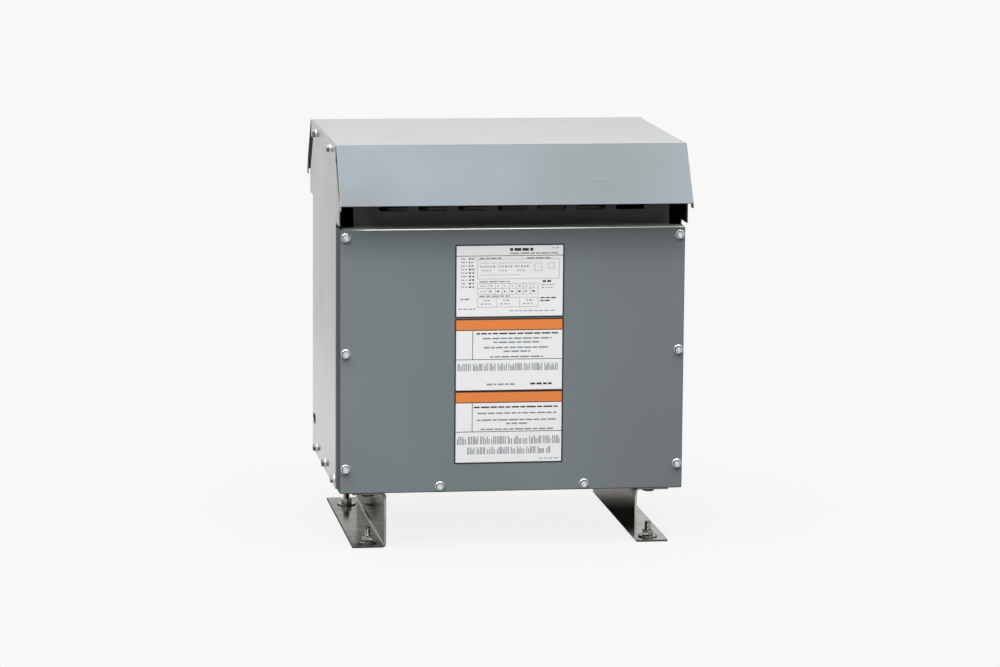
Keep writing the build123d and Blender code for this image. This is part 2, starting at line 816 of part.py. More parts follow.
with BuildPart() as terminal_studs:
    with BuildSketch(board_plane.offset(terminal_ahead)):
        with Locations(*terminal_spots):
            Circle(terminal_size / 2)
    extrude(amount=-(terminal_ahead + board_gauge + terminal_behind))
write(terminal_studs, "terminal_studs")

strap_plane = board_plane.offset(strap_gauge)
write(nuts(strap_plane, terminal_spots, terminal_across, terminal_nut_height, 2 * terminal_hole),
      "terminal_nuts")

strap_middle = board_face - strap_gauge / 2
strap_end = strap_width / 2


def straps(lefts, points, level):
    """Flat conductor bars, folded along the given side view and holed at the terminal level."""
    with BuildPart() as bars:
        for left in lefts:
            section = fold(Plane.YZ.offset(left), points, strap_gauge, strap_gauge)
            extrude(section, amount=strap_width)
        spots = [(left + strap_end, level) for left in lefts]
        round_holes(board_plane.offset(strap_gauge), spots, terminal_hole, strap_gauge)
    return bars


high_strap_points = [
    (coil_front - strap_gauge / 2, window_top - coil_block_height - strap_reach - strap_width),
    (coil_front - strap_gauge / 2, window_top - coil_block_height - strap_width),
    (strap_middle, window_top - strap_gauge),
    (strap_middle, high_level + strap_end),
]
write(straps([x - strap_end for x in high_terminals], high_strap_points, high_level),
      "high_terminal_straps")

low_winding_middle = core_front - low_gap - low_winding_wall / 2
low_strap_level = winding_bottom - coil_block_height / 2
low_strap_points = [
    (low_winding_middle, winding_bottom),
    (low_winding_middle, low_strap_level),
    (strap_middle, low_strap_level),
    (strap_middle, low_level - strap_end),
]
write(straps([x - strap_end for x in low_terminals], low_strap_points, low_level),
      "low_terminal_straps")

# Phase jumpers: flat bars across the coils' front faces, the long one raised over the middle coil

with BuildPart() as phase_jumpers:
    near = jumper_inset
    bar_face = coil_front - strap_gauge / 2
    raised_face = bar_face - jumper_lift
    short_level = winding_bottom + short_jumper_rise
    long_level = winding_bottom + long_jumper_rise
    for side in (-1, 1):
        with BuildSketch(Plane.XZ.offset(-coil_front)):
            with Locations((side * leg_pitch / 2, short_level)):
                Rectangle(leg_pitch - 2 * near + 2 * strap_end, strap_width)
        extrude(amount=strap_gauge)
    reach = leg_pitch - near
    step = leg_pitch / 2
    bar = [
        (-reach - strap_end, bar_face), (-step - strap_end, bar_face), (-step, raised_face),
        (step, raised_face), (step + strap_end, bar_face), (reach + strap_end, bar_face),
    ]
    section = fold(Plane.XY.offset(long_level - strap_width / 2), bar, strap_gauge, strap_gauge)
    extrude(section, amount=strap_width)
write(phase_jumpers, "phase_jumpers")

# Ground parts: a lug on the base and a strap that bonds the core clamp to it

lug_y = front_face + lug_from_front

with BuildPart() as ground_lug:
    with BuildSketch(Plane.XY.offset(base_top)):
        with Locations((lug_from_middle, lug_y)):
            RectangleRounded(lug_width, lug_length, former_corner)
    extrude(amount=lug_height)
    with BuildSketch(Plane.XZ.offset(lug_length / 2 - lug_y)):
        with Locations((lug_from_middle, base_top + lug_height / 2)):
            Circle(lug_bore / 2)
    extrude(amount=-lug_length / 2, mode=Mode.SUBTRACT)
    rear_spot = (lug_from_middle, lug_y + lug_length / 4)
    round_holes(Plane.XY.offset(base_top + lug_height), [rear_spot], screw_hole, lug_height)
write(ground_lug, "ground_lug")

write(
    bolts(Plane.XY.offset(base_top + lug_height), [rear_spot], screw_hex, screw_head_height,
          screw_size, lug_height - slip),
    "ground_lug_screw",
)

with BuildPart() as ground_strap:
    strap_left = core_bolt_spread - pad_width / 2 - ground_strap_from_pad - ground_strap_width
    foot_y = clamp_tip - ground_strap_width
    points = [
        (foot_y - ground_strap_width, base_top + ground_strap_gauge / 2),
        (foot_y, base_top + ground_strap_gauge / 2),
        (clamp_tip + ground_strap_width / 2, clamp_bottom - ground_strap_gauge / 2),
        (clamp_tip + 2 * ground_strap_width, clamp_bottom - ground_strap_gauge / 2),
    ]
    section = fold(Plane.YZ.offset(strap_left), points, ground_strap_gauge, ground_strap_gauge)
    extrude(section, amount=ground_strap_width)
write(ground_strap, "ground_strap")
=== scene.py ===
import json
import math
import random

import bmesh
import bpy
from mathutils import Matrix, Vector


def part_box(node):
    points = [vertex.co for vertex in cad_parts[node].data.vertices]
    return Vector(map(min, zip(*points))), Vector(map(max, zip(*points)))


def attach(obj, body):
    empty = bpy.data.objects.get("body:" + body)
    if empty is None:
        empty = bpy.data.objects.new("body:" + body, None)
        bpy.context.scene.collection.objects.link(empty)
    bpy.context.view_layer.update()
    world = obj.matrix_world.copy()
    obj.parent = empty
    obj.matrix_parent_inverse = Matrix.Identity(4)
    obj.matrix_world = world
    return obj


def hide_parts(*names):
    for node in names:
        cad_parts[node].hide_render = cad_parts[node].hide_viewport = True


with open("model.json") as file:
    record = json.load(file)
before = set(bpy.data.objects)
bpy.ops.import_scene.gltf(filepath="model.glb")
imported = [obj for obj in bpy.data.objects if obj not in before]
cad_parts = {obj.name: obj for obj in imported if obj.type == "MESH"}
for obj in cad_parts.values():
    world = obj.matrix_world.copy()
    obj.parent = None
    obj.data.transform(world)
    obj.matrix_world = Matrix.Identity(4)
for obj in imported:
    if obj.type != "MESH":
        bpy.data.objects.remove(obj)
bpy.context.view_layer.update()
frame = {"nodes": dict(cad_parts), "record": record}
nodes = frame["nodes"]

# Camera: metres and degrees, in the object's frame
camera_place = Vector((-0.8205, -5.7010, 1.1612))
camera_yaw = 8.297
camera_pitch = 8.764
camera_roll = -0.444
focal_length = 144.0
sensor_width = 36.0

# Studio
background_white = 0.94
object_middle = Vector((0.0, 0.0, 0.28))
fill_strength = 0.045
fill_colour = (0.95, 0.98, 1.0, 1.0)
floor_size = 60.0
floor_bounce = 0.09
floor_tone = 0.42
seen_shadow = 0.09
mirrored_shadow = 1.0
shadow_reach = 0.75
lamp_distance = 3.0
neutral = (1.0, 1.0, 1.0)
warm = (1.0, 0.98, 0.95)
warmer = (1.0, 0.96, 0.91)

# Fasteners, metres
washer_radius = 0.0065
washer_height = 0.0013
screw_across = 0.0095
screw_head_height = 0.0042
screw_shank = 0.00315
screw_length = 0.012
nut_across = 0.015
nut_height = 0.008
stud_radius = 0.00475
foot_washer_radius = 0.014
foot_washer_gauge = 0.002
thread_pitch = 0.0015

# Stickers on the front cover, metres: where the bare fields lie, and what surrounds and covers them
sticker_left = -0.0808
sticker_width = 0.1507
sticker_height = 0.0998
sticker_bottoms = (0.3293, 0.2243, 0.1212)
sticker_border = 0.0022
sticker_gauge = 0.00018
ink_gauge = 0.00003
proud_ink_gauge = 1.4 * ink_gauge
sticker_corner = 0.0018
fine_rule = 0.0005
strong_rule = 0.0009
band_rule = 0.0012

# Where the finishes change, metres: a point, or the two ends of a change along one axis
roof_start = (0.5688, 0.5696)
skirt_shade = (0.488, 0.535)
skirt_patch = (0.130, -0.215, 0.550)
skirt_patch_reach = (0.03, 0.14)
skirt_scratch = (0.115, -0.220, 0.524)
skirt_scratch_reach = (0.0002, 0.0006)
panel_floor_reflection = (0.10, 0.36)
panel_bend_shade = (-0.1630, -0.1605)
flange_start = (0.2434, 0.2443)
strip_start = (-0.2005, -0.1985)
fold_level = (0.4522, 0.4530)
fold_depth = (-0.2006, -0.1996)
fold_left_end = (-0.235, -0.200)
fold_right_end = (0.02, 0.20)
strip_left_shade = (-0.225, -0.170)
cover_right_shade = (0.02, 0.20)
cover_top_shade = (0.395, 0.450)
foot_bolt_shade = (0.050, 0.060)

# Places taken from the CAD, metres
cover_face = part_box("front_cover")[0].y
cover_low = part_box("front_cover")[0].z
foot_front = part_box("left_foot")[0].y
foot_side = -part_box("left_foot")[0].x
hood_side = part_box("hood")[1].x


def linear(red, green, blue):
    """A colour as a screen shows it, 0 to 255, in the linear values that shaders take."""
    channels = [value / 255 for value in (red, green, blue)]
    curve = [c / 12.92 if c <= 0.04045 else ((c + 0.055) / 1.055) ** 2.4 for c in channels]
    return (*curve, 1.0)


class Graph:
    """The node tree of one material, with the object's own coordinates to hand."""

    def __init__(self, name):
        self.material = bpy.data.materials.new(name)
        self.material.use_nodes = True
        self.tree = self.material.node_tree
        self.shader = self.tree.nodes["Principled BSDF"]
        self.place = self.add("ShaderNodeTexCoord").outputs["Object"]

    def put(self, socket, value):
        """Links a socket, or sets its value."""
        if isinstance(value, bpy.types.NodeSocket):
            self.tree.links.new(value, socket)
        else:
            socket.default_value = value

    def add(self, kind, settings=None, inputs=None):
        """A new node with its settings and inputs."""
        node = self.tree.nodes.new(kind)
        for name, value in (settings or {}).items():
            setattr(node, name, value)
        for key, value in (inputs or {}).items():
            self.put(node.inputs[key], value)
        return node

    def stretched(self, x, y, z):
        """The coordinates, scaled along each axis."""
        node = self.add("ShaderNodeMapping", inputs={"Vector": self.place, "Scale": (x, y, z)})
        return node.outputs["Vector"]

    def noise(self, scale, detail=2.0, roughness=0.5, along=None):
        """Noise from 0 to 1. Along gives other coordinates to draw it on."""
        inputs = {
            "Vector": along or self.place, "Scale": scale, "Detail": detail, "Roughness": roughness,
        }
        return self.add("ShaderNodeTexNoise", inputs=inputs).outputs[0]

    def spread(self, value, low, high, start=0.3, end=0.7):
        """Maps a value that runs from start to end to one that runs from low to high."""
        inputs = {"Value": value, "From Min": start, "From Max": end, "To Min": low, "To Max": high}
        settings = {"interpolation_type": "SMOOTHSTEP"}
        return self.add("ShaderNodeMapRange", settings, inputs).outputs["Result"]

    def math(self, operation, first, second=0.0):
        """The result of a sum on two values."""
        return self.add("ShaderNodeMath", {"operation": operation}, {0: first, 1: second}).outputs[0]

    def times(self, *values):
        """The product of the values."""
        product = values[0]
        for value in values[1:]:
            product = self.math("MULTIPLY", product, value)
        return product

    def axes(self):
        """The X, Y and Z coordinates, each as a value."""
        node = self.add("ShaderNodeSeparateXYZ", inputs={"Vector": self.place})
        return [node.outputs[axis] for axis in "XYZ"]

    def scaled(self, colour, factor):
        """A colour made darker or lighter by a value."""
        inputs = {"Vector": colour, "Scale": factor}
        return self.add("ShaderNodeVectorMath", {"operation": "SCALE"}, inputs).outputs["Vector"]

    def distance(self, middle, stretch=(1.0, 1.0, 1.0)):
        """How far the surface is from a point, with each axis weighed."""
        kind = "ShaderNodeVectorMath"
        offset = self.add(kind, {"operation": "SUBTRACT"}, {0: self.place, 1: middle})
        weighed = self.add(kind, {"operation": "MULTIPLY"}, {0: offset.outputs[0], 1: stretch})
        length = self.add(kind, {"operation": "LENGTH"}, {0: weighed.outputs[0]})
        return length.outputs["Value"]

    def mix(self, factor, first, second):
        """The first colour where the factor is 0 and the second where it is 1."""
        node = self.add("ShaderNodeMix", {"data_type": "RGBA"}, {0: factor, 6: first, 7: second})
        return node.outputs[2]

    def bump(self, height, distance, normal=None):
        """A normal tilted by a height map."""
        inputs = {"Height": height, "Distance": distance}
        if normal is not None:
            inputs["Normal"] = normal
        return self.add("ShaderNodeBump", inputs=inputs).outputs["Normal"]

    def soft_edges(self, radius):
        """A normal that rounds off sharp edges."""
        node = self.add("ShaderNodeBevel", {"samples": 4}, {"Radius": radius})
        return node.outputs["Normal"]

    def finish(self, **inputs):
        """Sets the shader's inputs by name, with underscores for spaces, and returns the material."""
        for name, value in inputs.items():
            self.put(self.shader.inputs[name.replace("_", " ")], value)
        return self.material


def shade(colour, factor):
    """A colour made darker or lighter."""
    return (*[channel * factor for channel in colour[:3]], 1.0)


def painted(g, dark, light, roughness, cloud_scale=5.0, peel_depth=0.00001, specular=0.5):
    """Sprayed paint: slow clouds of tone, a fine orange peel and a little unevenness in the gloss."""
    clouds = g.spread(g.noise(cloud_scale, 3.0), 0.0, 1.0, 0.2, 0.8)
    speck = g.spread(g.noise(420.0, 2.0), 0.98, 1.02)
    tone = g.mix(clouds, dark, light)
    colour = g.scaled(tone, speck)
    gloss = g.spread(g.noise(6.0, 1.0), roughness - 0.02, roughness + 0.03, 0.1, 0.9)
    g.finish(
        Base_Color=colour, Roughness=gloss, Specular_IOR_Level=specular,
        Normal=g.bump(g.noise(520.0, 3.0), peel_depth, g.soft_edges(0.0005)),
    )
    return colour, gloss


def paint(name, dark, light, roughness, cloud_scale=5.0):
    """A plain painted finish."""
    g = Graph(name)
    painted(g, dark, light, roughness, cloud_scale)
    return g.material


def hood_finish():
    """The hood's paint: greyer on top and greyer and paler at the sides, as painted reflection, with
    painted shade towards the skirt's lower edge, a darker patch and a scratch in front.
    """
    g = Graph("hood_paint")
    colour, gloss = painted(g, linear(84, 92, 97), linear(98, 108, 115), 0.31, 4.5, 0.000002, 0.37)
    x, _, z = g.axes()
    # Painted reflection: the roof and the side flanges take greyer, paler tones in place of the light
    # they mirror
    roof = g.spread(z, 0.0, 1.0, *roof_start)
    side = g.spread(g.math("ABSOLUTE", x), 0.0, 1.0, hood_side - 0.0010, hood_side - 0.0004)
    from_patch = g.distance(skirt_patch, (1.0, 1.0, 1.3))
    patch = g.times(g.spread(from_patch, 1.0, 0.0, *skirt_patch_reach), 0.8)
    skirt = g.mix(patch, colour, linear(80, 87, 88))
    # Painted shade: the skirt darker towards its lower edge
    shaded = g.scaled(skirt, g.spread(z, 0.90, 1.0, *skirt_shade))
    from_scratch = g.distance(skirt_scratch, (0.026, 0.003, 1.0))
    scratch = g.spread(from_scratch, 0.3, 0.0, *skirt_scratch_reach)
    wear_and_glint = g.mix(scratch, shaded, linear(126, 133, 138))
    return g.finish(
        Base_Color=g.mix(side, g.mix(roof, wear_and_glint, linear(92, 96, 98)), linear(114, 116, 117)),
        Roughness=g.mix(side, gloss, (0.2, 0.2, 0.2, 1.0)),
    )


def panel_finish():
    """The panels' paint: glossier towards the floor and paler there as painted reflection, with
    painted shade round the front bends.
    """
    g = Graph("panel_paint")
    colour, gloss = painted(g, linear(108, 112, 113), linear(116, 121, 122), 0.20, 5.0, 0.000006)
    _, y, z = g.axes()
    low = g.spread(z, 1.0, 0.0, *panel_floor_reflection)
    # Painted reflection: the colour made paler towards the floor
    pale = g.mix(g.times(low, 0.45), colour, linear(168, 171, 172))
    # Painted shade: the colour darkened round the front bends
    return g.finish(
        Base_Color=g.scaled(pale, g.spread(y, 0.42, 1.0, *panel_bend_shade)),
        Roughness=g.times(gloss, g.spread(low, 1.0, 0.45, 0.0, 1.0)),
    )


def cover_finish():
    """The front cover's paint: dry on the side flanges and the strip, with painted shade on the
    flanges, the right side, under the top, at the strip's left end and along the bottom edge, and a
    painted glint along the fold.
    """
    g = Graph("cover_paint")
    colour, gloss = painted(g, linear(109, 117, 120), linear(117, 126, 129), 0.36, 4.0, 0.00001, 0.3)
    x, y, z = g.axes()
    flange = g.spread(g.math("ABSOLUTE", x), 0.0, 1.0, *flange_start)
    between_flanges = g.spread(flange, 1.0, 0.0, 0.0, 1.0)
    strip = g.times(g.spread(y, 0.0, 1.0, *strip_start), between_flanges)
    dry = g.math("MAXIMUM", flange, strip)
    # Painted glint: a bright bare-metal band along the fold, fading towards both ends
    fold = g.times(g.spread(z, 0.0, 1.0, *fold_level), g.spread(y, 1.0, 0.0, *fold_depth))
    length = g.times(g.spread(x, 0.0, 0.9, *fold_left_end), g.spread(x, 1.0, 0.45, *fold_right_end))
    wear_and_glint = g.times(fold, length)
    # Painted shade under the top, and a painted shadow line along the bottom edge
    bottom_edge_shadow = g.spread(z, 0.2, 1.0, cover_low + 0.0006, cover_low + 0.0016)
    shaded = g.times(g.spread(z, 1.0, 0.80, *cover_top_shade), bottom_edge_shadow)
    # Painted shade: darker towards the right, and on the side flanges
    right = g.mix(g.spread(x, 0.0, 1.0, *cover_right_shade), colour, linear(108, 114, 117))
    outside = g.mix(flange, g.scaled(right, shaded), linear(94, 97, 99))
    # Painted shade: the strip darker towards its left end
    strip_tone = g.scaled(linear(136, 140, 143)[:3], g.spread(x, 0.42, 1.0, *strip_left_shade))
    return g.finish(
        Base_Color=g.mix(wear_and_glint, g.mix(strip, outside, strip_tone), linear(212, 211, 208)),
        Roughness=g.math("MAXIMUM", gloss, dry), Metallic=wear_and_glint,
        Specular_IOR_Level=g.spread(flange, 0.3, 0.0, 0.0, 1.0),
    )


def steel(name, dark, light, low, high, grain, grain_depth, edge=0.0004):
    """Bare or plated steel. Grain is the noise's scale along each axis."""
    g = Graph(name)
    streaks = g.noise(1.0, 3.0, 0.6, g.stretched(*grain))
    stains = g.noise(30.0, 3.0)
    tone = g.mix(g.spread(stains, 0.0, 1.0), dark, light)
    colour = g.scaled(tone, g.spread(streaks, 0.9, 1.08))
    gloss = g.spread(streaks, low, high)
    return g.finish(
        Base_Color=colour, Roughness=gloss, Metallic=1.0,
        Normal=g.bump(streaks, grain_depth, g.soft_edges(edge)),
    )


def stainless_finish():
    """Brushed stainless sheet, slightly wavy, with dark sheared edges. Painted shade darkens the left
    foot and the tops of the channels, in colour and in reflection.
    """
    g = Graph("stainless_channel")
    streaks = g.noise(1.0, 3.0, 0.6, g.stretched(1500.0, 14.0, 1500.0))
    waves = g.noise(1.0, 1.0, 0.5, g.stretched(60.0, 7.0, 60.0))
    x, y, z = g.axes()
    stains = g.spread(g.noise(30.0, 3.0), 0.0, 1.0)
    tone = g.mix(stains, linear(160, 158, 154), linear(188, 187, 184))
    front_edge = g.spread(y, 1.0, 0.0, foot_front + 0.0002, foot_front + 0.0008)
    outer_edge = g.spread(g.math("ABSOLUTE", x), 0.0, 1.0, foot_side - 0.0008, foot_side - 0.0002)
    on_flange = g.spread(z, 1.0, 0.0, 0.0030, 0.0042)
    sheared = g.times(g.math("MAXIMUM", front_edge, outer_edge), on_flange)
    # Painted shade: the left foot darker, along with the dark sheared edges
    left_shade_and_sheared = g.times(g.spread(x, 0.78, 1.0, -0.05, 0.05), g.spread(sheared, 1.0, 0.25, 0.0, 1.0))
    # Painted shade: darker towards the top, under the base, in colour and in the tint of reflections
    level = g.times(left_shade_and_sheared, g.spread(z, 1.0, 0.35, 0.064, 0.077))
    relief = g.math("ADD", streaks, g.times(waves, 12.0))
    return g.finish(
        Base_Color=g.scaled(tone, g.times(level, g.spread(streaks, 0.88, 1.08))),
        Roughness=g.spread(streaks, 0.08, 0.20), Metallic=1.0,
        Specular_Tint=g.scaled((0.82, 0.81, 0.79), level),
        Normal=g.bump(relief, 0.000004, g.soft_edges(0.0004)),
    )


def foot_hardware_finish():
    """Dull plating on the feet's studs and washers, darker on the bolts in shade under the base."""
    g = Graph("foot_hardware")
    grain = g.noise(240.0, 3.0, 0.6)
    _, _, z = g.axes()
    shaded = g.spread(z, 1.0, 0.15, *foot_bolt_shade)
    tone = g.mix(g.spread(grain, 0.0, 1.0), linear(84, 83, 78), linear(126, 124, 117))
    return g.finish(
        Base_Color=g.scaled(tone, shaded), Roughness=g.spread(grain, 0.14, 0.26), Metallic=1.0,
        Specular_Tint=g.scaled((1.0, 1.0, 1.0), shaded),
        Normal=g.bump(grain, 0.00001, g.soft_edges(0.0002)),
    )


def layered(name, dark, light, roughness, coat, axis, pitch, depth, metallic=0.0):
    """A stack of sheets or turns, as fine lines across one axis, under varnish."""
    g = Graph(name)
    scale = [6.0, 6.0, 6.0]
    scale["XYZ".index(axis)] = 1.0 / pitch
    lines = g.noise(1.0, 1.0, 0.5, g.stretched(*scale))
    blotches = g.noise(18.0, 4.0, 0.6)
    both = g.math("ADD", g.times(lines, 0.6), g.times(blotches, 0.4))
    return g.finish(
        Base_Color=g.mix(g.spread(both, 0.0, 1.0), dark, light), Metallic=metallic,
        Roughness=g.spread(blotches, roughness - 0.07, roughness + 0.07), Coat_Weight=coat,
        Normal=g.bump(lines, depth),
    )


def fibrous(name, dark, light, roughness, scale, stretch, depth):
    """Pressed board, laminate or rubber: fibres or specks, a little bump and uneven gloss."""
    g = Graph(name)
    fibres = g.noise(scale, 4.0, 0.65, g.stretched(*stretch))
    patches = g.noise(24.0, 3.0)
    both = g.math("ADD", g.times(fibres, 0.65), g.times(patches, 0.35))
    return g.finish(
        Base_Color=g.mix(g.spread(both, 0.0, 1.0), dark, light),
        Roughness=g.spread(patches, roughness - 0.06, roughness + 0.06),
        Normal=g.bump(fibres, depth, g.soft_edges(0.0003)),
    )


def printed(name, colour, roughness):
    """Sticker film or ink: an even tone with a faint grain and a slight waviness in the gloss."""
    g = Graph(name)
    grain = g.noise(900.0, 2.0)
    wave = g.noise(16.0, 2.0)
    tone = g.mix(g.spread(grain, 0.0, 1.0), shade(colour, 0.965), shade(colour, 1.02))
    return g.finish(
        Base_Color=tone, Roughness=g.spread(wave, roughness - 0.04, roughness + 0.04),
        Normal=g.bump(wave, 0.0002),
    )


finishes = {
    "hood_paint": hood_finish(),
    "cover_paint": cover_finish(),
    "panel_paint": panel_finish(),
    "base_paint": paint("base_paint", linear(110, 118, 121), linear(118, 127, 130), 0.4),
    "clamp_paint": paint("clamp_paint", linear(66, 70, 72), linear(78, 82, 84), 0.4),
    "stainless_channel": stainless_finish(),
    "foot_hardware": foot_hardware_finish(),
    "nut_plating": steel(
        "nut_plating", linear(140, 139, 136), linear(182, 181, 177), 0.12, 0.24,
        (240.0, 240.0, 240.0), 0.00001, 0.0002,
    ),
    "zinc_fasteners": steel(
        "zinc_fasteners", linear(206, 210, 214), linear(228, 231, 234), 0.16, 0.26,
        (300.0, 300.0, 300.0), 0.00001, 0.0002,
    ),
    # Darker copies of the zinc, as painted shade on the screws' hex sides and grooves
    "zinc_sides_shade": steel(
        "zinc_sides_shade", linear(92, 94, 97), linear(122, 124, 127), 0.28, 0.42,
        (300.0, 300.0, 300.0), 0.00001, 0.0002,
    ),
    "zinc_groove_shade": steel(
        "zinc_groove_shade", linear(46, 48, 52), linear(74, 77, 80), 0.4, 0.6,
        (300.0, 300.0, 300.0), 0.00001, 0.0002,
    ),
    "copper_bar": steel(
        "copper_bar", linear(148, 86, 58), linear(206, 132, 96), 0.25, 0.42,
        (20.0, 20.0, 900.0), 0.00001,
    ),
    "lug_aluminium": steel(
        "lug_aluminium", linear(190, 191, 192), linear(214, 215, 216), 0.3, 0.45,
        (400.0, 400.0, 400.0), 0.00001,
    ),
    "core_laminations": layered(
        "core_laminations", linear(40, 42, 44), linear(74, 76, 78), 0.55, 0.05, "Y", 0.00035, 0.00005,
        0.2,
    ),
    "low_winding_varnish": layered(
        "low_winding_varnish", linear(150, 122, 76), linear(206, 178, 124), 0.4, 0.5, "Z", 0.02,
        0.0002,
    ),
    "high_winding_varnish": layered(
        "high_winding_varnish", linear(118, 66, 28), linear(184, 118, 62), 0.32, 0.6, "Z", 0.0028,
        0.0005,
    ),
    "former_board": fibrous(
        "former_board", linear(176, 158, 122), linear(208, 190, 152), 0.7, 400.0, (1.0, 1.0, 0.2),
        0.00006,
    ),
    "glass_polyester": fibrous(
        "glass_polyester", linear(206, 194, 156), linear(232, 222, 190), 0.5, 500.0, (1.0, 1.0, 0.1),
        0.00005,
    ),
    "terminal_board_laminate": fibrous(
        "terminal_board_laminate", linear(134, 42, 34), linear(166, 62, 50), 0.42, 320.0,
        (1.0, 1.0, 1.0), 0.00003,
    ),
    "pad_rubber": fibrous(
        "pad_rubber", linear(28, 28, 29), linear(44, 44, 45), 0.75, 260.0, (1.0, 1.0, 0.3), 0.0001,
    ),
}
sticker_white = printed("sticker_white", linear(231, 232, 233), 0.38)
sticker_orange = printed("sticker_orange", linear(221, 126, 58), 0.38)
sticker_black = printed("sticker_black", linear(18, 19, 21), 0.4)
sticker_grey = printed("sticker_grey", linear(126, 130, 136), 0.4)

for part in frame["record"]["subparts"]:
    mesh = nodes[part["node"]].data
    mesh.materials.clear()
    mesh.materials.append(finishes[part["material_slot"]])


# Meshes

sharp_angle = math.radians(32)


def keep(mesh, name, materials, replaced=()):
    """Makes a piece of a bmesh, which rides on the object, has a slot and may stand for nodes."""
    bmesh.ops.recalc_face_normals(mesh, faces=mesh.faces)
    data = bpy.data.meshes.new(name)
    mesh.to_mesh(data)
    mesh.free()
    for material in materials:
        data.materials.append(material)
    data.shade_smooth()
    data.set_sharp_from_angle(angle=sharp_angle)
    piece = bpy.data.objects.new(name, data)
    bpy.context.scene.collection.objects.link(piece)
    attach(piece, "root")
    for node in replaced:
        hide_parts(node)
    return piece


def join_rings(mesh, rings, capped=True):
    """Skins a row of rings, closes the ends or joins them, and returns the faces of each band."""
    loops = [[mesh.verts.new(point) for point in ring] for ring in rings]
    count = len(loops[0])
    bands = []
    for lower, upper in zip(loops, loops[1:]):
        band = []
        for i in range(count):
            j = (i + 1) % count
            band.append(mesh.faces.new((lower[i], lower[j], upper[j], upper[i])))
        bands.append(band)
    if capped:
        mesh.faces.new(list(reversed(loops[0])))
        mesh.faces.new(loops[-1])
    else:
        for i in range(count):
            j = (i + 1) % count
            mesh.faces.new((loops[-1][i], loops[-1][j], loops[0][j], loops[0][i]))
    return bands


def turned(mesh, profile, placing, steps=48, capped=True):
    """Turns (radius, height) points about the placing's Z. Each may be a function of the angle."""
    rings = []
    for radius, height in profile:
        ring = []
        for step in range(steps):
            angle = math.tau * step / steps
            r = radius(angle) if callable(radius) else radius
            h = height(angle) if callable(height) else height
            ring.append(placing @ Vector((r * math.cos(angle), r * math.sin(angle), h)))
        rings.append(ring)
    return join_rings(mesh, rings, capped)


def threaded(mesh, radius, pitch, bottom, top, placing, steps=24, cuts=6):
    """A rod with a helical thread, pointed a little at its top."""
    depth = 0.45 * pitch
    rings = []
    levels = max(2, round((top - bottom) / pitch * cuts))
    for level in range(levels + 1):
        height = bottom + (top - bottom) * level / levels
        narrowing = max(0.0, height - (top - pitch))
        ring = []
        for step in range(steps):
            turn = step / steps
            phase = (height / pitch - turn) % 1.0
            r = radius - depth * abs(2 * phase - 1) - 0.5 * narrowing
            angle = math.tau * turn
            ring.append(placing @ Vector((r * math.cos(angle), r * math.sin(angle), height)))
        rings.append(ring)
    join_rings(mesh, rings)


def hexagon(across):
    """The radius of a hexagon at an angle, for its size across the flats."""
    sector = math.pi / 3

    def radius(angle):
        return across / 2 / math.cos((angle + sector / 2) % sector - sector / 2)

    return radius


def chamfered(across, height, rounded=0.94):
    """The height of a hexagon's upper edge at an angle, cut down at the corners as on a turned bar."""
    outline = hexagon(across)

    def level(angle):
        return height - (outline(angle) - rounded * across / 2) * math.tan(math.radians(30))

    return level


def placed(spot, outward, turn=0.0):
    """A placing whose Z points outward at the spot, turned about that axis."""
    rotation = Vector(outward).to_track_quat("Z", "Y").to_matrix().to_4x4()
    return Matrix.Translation(spot) @ rotation @ Matrix.Rotation(turn, 4, "Z")


widest_fastener = 2.2 * foot_washer_radius


def screw_spots(node, outward, height):
    """Where the separate fasteners of a node seat: the middle of each one's points, at its seat."""
    axis = max(range(3), key=lambda i: abs(outward[i]))
    across = [i for i in range(3) if i != axis]
    groups = []
    for vertex in nodes[node].data.vertices:
        point = vertex.co
        for group in groups:
            if all(abs(group[0][i] - point[i]) < widest_fastener for i in across):
                group.append(point)
                break
        else:
            groups.append([point])
    spots = []
    for group in groups:
        spot = Vector()
        for i in across:
            spot[i] = (min(p[i] for p in group) + max(p[i] for p in group)) / 2
        outermost = max(p[axis] * outward[axis] for p in group)
        spot[axis] = (outermost - height) * outward[axis]
        spots.append(spot)
    return spots


# The metals of a screw, and which bands of its profile have another one than the first: darker copies
# of the zinc as painted shade
GROOVE_SHADE, SIDES_SHADE = 1, 2
screw_bands = ((7, GROOVE_SHADE), (8, SIDES_SHADE), (9, GROOVE_SHADE), (11, GROOVE_SHADE))
screw_metals = [finishes["zinc_fasteners"], finishes["zinc_groove_shade"], finishes["zinc_sides_shade"]]


def washer_head_screw(mesh, placing):
    """A hex washer-head sheet-metal screw, with painted shade on its grooves, chamfer, hex sides and
    the wall of its dished head.
    """
    top = washer_height + screw_head_height
    outline = hexagon(screw_across)
    flat = screw_across / 2
    profile = [
        (0.0004, -screw_length), (screw_shank * 0.8, -0.8 * screw_length), (screw_shank, -0.0004),
        (screw_shank, 0.0), (washer_radius, 0.0), (washer_radius, 0.6 * washer_height),
        (washer_radius - 0.0004, washer_height), (flat * 1.2, washer_height + 0.0002),
        (outline, washer_height + 0.0003), (outline, chamfered(screw_across, top)),
        (flat * 0.94, top), (flat * 0.72, top), (flat * 0.62, top - 0.0006), (0.0006, top - 0.0008),
    ]
    bands = turned(mesh, profile, placing)
    for band, metal in screw_bands:
        for face in bands[band]:
            face.material_index = metal


screw_rows = (
    ("front_cover_screws", (0, -1, 0)), ("rear_panel_screws", (0, 1, 0)),
    ("left_side_screws", (-1, 0, 0)), ("right_side_screws", (1, 0, 0)),
    ("left_hood_screws", (-1, 0, 0)), ("right_hood_screws", (1, 0, 0)),
)
spin = random.Random(7)
for node, outward in screw_rows:
    row = bmesh.new()
    for spot in screw_spots(node, outward, washer_height + screw_head_height):
        washer_head_screw(row, placed(spot, outward, spin.uniform(0, math.tau)))
    keep(row, f"{node}_detailed", screw_metals, (node,))


